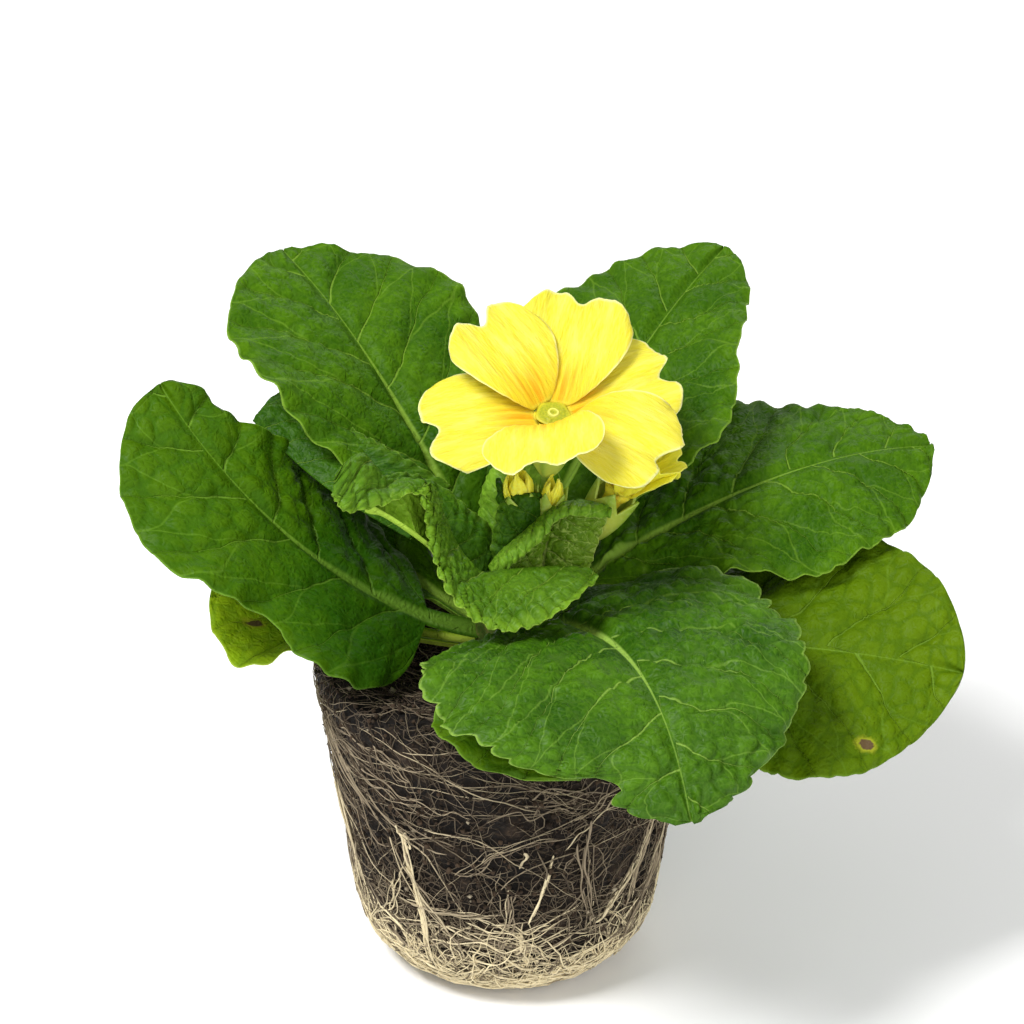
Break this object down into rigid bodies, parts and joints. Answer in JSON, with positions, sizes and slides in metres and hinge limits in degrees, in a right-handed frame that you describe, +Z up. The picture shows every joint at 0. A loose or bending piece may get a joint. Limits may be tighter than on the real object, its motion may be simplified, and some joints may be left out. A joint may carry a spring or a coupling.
{
  "type": "primrose plant with bare root ball",
  "caption": "Flowering primrose lifted out of its pot: a rosette of quilted leaves with a yellow bloom, buds and a bare, root-bound ball of soil that it stands on.",
  "frame": {"origin": "middle of the root ball's flat underside, which the plant stands on", "axes": "+Z up through the root ball and the crown; -Y is the front, which the open flower leans towards; +X is to the right as seen from the front"},
  "size_m": [0.1817, 0.154, 0.1537],
  "materials": {
    "peat": "matte, damp dark peat",
    "roots": "matte, pale tan fibre",
    "crown": "matte",
    "leaf": "satin, quilted, with paler veins",
    "leaf_low": "satin, older and yellower",
    "leaf_young": "satin, fresh green, crinkled",
    "petal": "matte, soft lemon yellow with orange streaks at the throat",
    "eye": "matte olive green",
    "calyx": "satin, pale green with ribs",
    "bud": "matte golden yellow"
  },
  "bodies": {
    "root": {"root_ball": "peat", "crown": "crown", "leaf_back_left": "leaf", "leaf_left": "leaf", "leaf_right": "leaf", "leaf_back_right": "leaf", "leaf_front": "leaf", "leaf_rear_left": "leaf", "leaf_rear": "leaf", "leaf_rear_right": "leaf", "leaf_right_low": "leaf_low", "leaf_front_low": "leaf_low", "leaf_left_low": "leaf_low", "leaf_curled": "leaf_young", "young_leaf_front": "leaf_young", "young_leaf_left": "leaf_young", "young_leaf_rear": "leaf_young", "young_leaf_side": "leaf_young", "flower_open_stalk": "calyx", "flower_open_petals": "petal", "flower_open_eye": "eye", "flower_half_stalk": "calyx", "flower_half_petals": "petal", "flower_half_eye": "eye", "bud_stalks": "calyx", "bud_1": "bud", "bud_2": "bud"}
  },
  "joints": []
}
